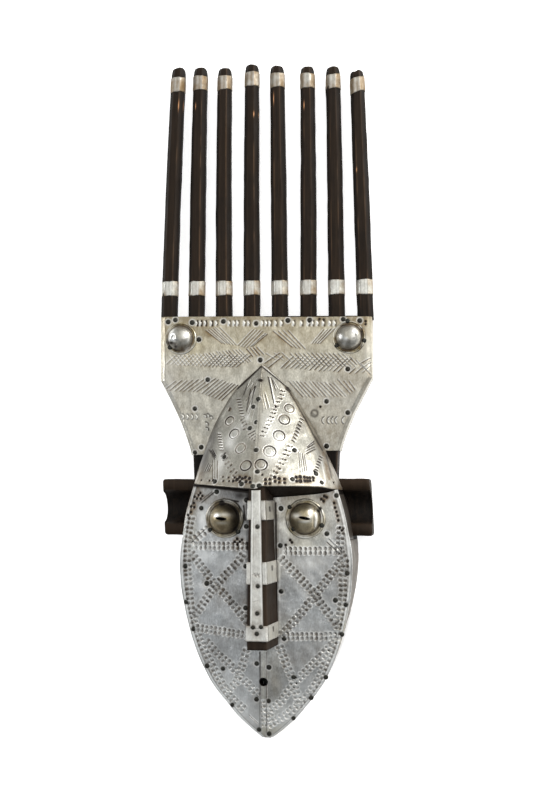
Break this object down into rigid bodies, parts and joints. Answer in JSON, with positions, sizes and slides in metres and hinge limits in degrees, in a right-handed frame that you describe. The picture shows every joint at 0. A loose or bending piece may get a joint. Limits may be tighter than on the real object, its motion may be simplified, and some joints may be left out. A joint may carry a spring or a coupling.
{
  "type": "ntomo mask",
  "caption": "Carved wooden face mask with a comb of upright prongs, sheathed in nailed and punched sheet metal, with domed metal eyes and crest bosses.",
  "frame": {"origin": "middle of the footprint of the mask as it lies on its back, on the surface it lies on", "axes": "+Z out of the face, away from the surface it lies on; +Y from the chin towards the comb's tips; +X to the right of someone who looks at the face"},
  "size_m": [0.2123, 0.6568, 0.0941],
  "materials": {
    "dark_wood": "dark stained, hand-worn, satin",
    "sheet_metal": "thin sheet, punched and engraved, softly polished with tarnish",
    "side_metal": "thin sheet, dull and tarnished",
    "band_metal": "thin strip, softly polished with yellow tarnish",
    "eye_metal": "pressed dome, warm grey, worn and stained",
    "crest_metal": "pressed dome, bright, dented and stained"
  },
  "bodies": {
    "root": {"wooden_mask": "dark_wood", "crest_sheet": "sheet_metal", "brow_sheet_left": "sheet_metal", "brow_sheet_right": "sheet_metal", "cheek_sheet_left": "sheet_metal", "cheek_sheet_right": "sheet_metal", "side_sheet_left_lower": "side_metal", "side_sheet_left_upper": "side_metal", "side_sheet_right_lower": "side_metal", "side_sheet_right_upper": "side_metal", "nose_strip": "band_metal", "nose_band_lower": "band_metal", "nose_band_middle": "band_metal", "nose_band_upper": "band_metal", "prong_band_lower_1": "band_metal", "prong_band_upper_1": "band_metal", "prong_band_lower_2": "band_metal", "prong_band_upper_2": "band_metal", "prong_band_lower_3": "band_metal", "prong_band_upper_3": "band_metal", "prong_band_lower_4": "band_metal", "prong_band_upper_4": "band_metal", "prong_band_lower_5": "band_metal", "prong_band_upper_5": "band_metal", "prong_band_lower_6": "band_metal", "prong_band_upper_6": "band_metal", "prong_band_lower_7": "band_metal", "prong_band_upper_7": "band_metal", "prong_band_lower_8": "band_metal", "prong_band_upper_8": "band_metal", "eye_boss_left": "eye_metal", "eye_boss_right": "eye_metal", "crest_boss_left": "crest_metal", "crest_boss_right": "crest_metal"}
  },
  "joints": []
}
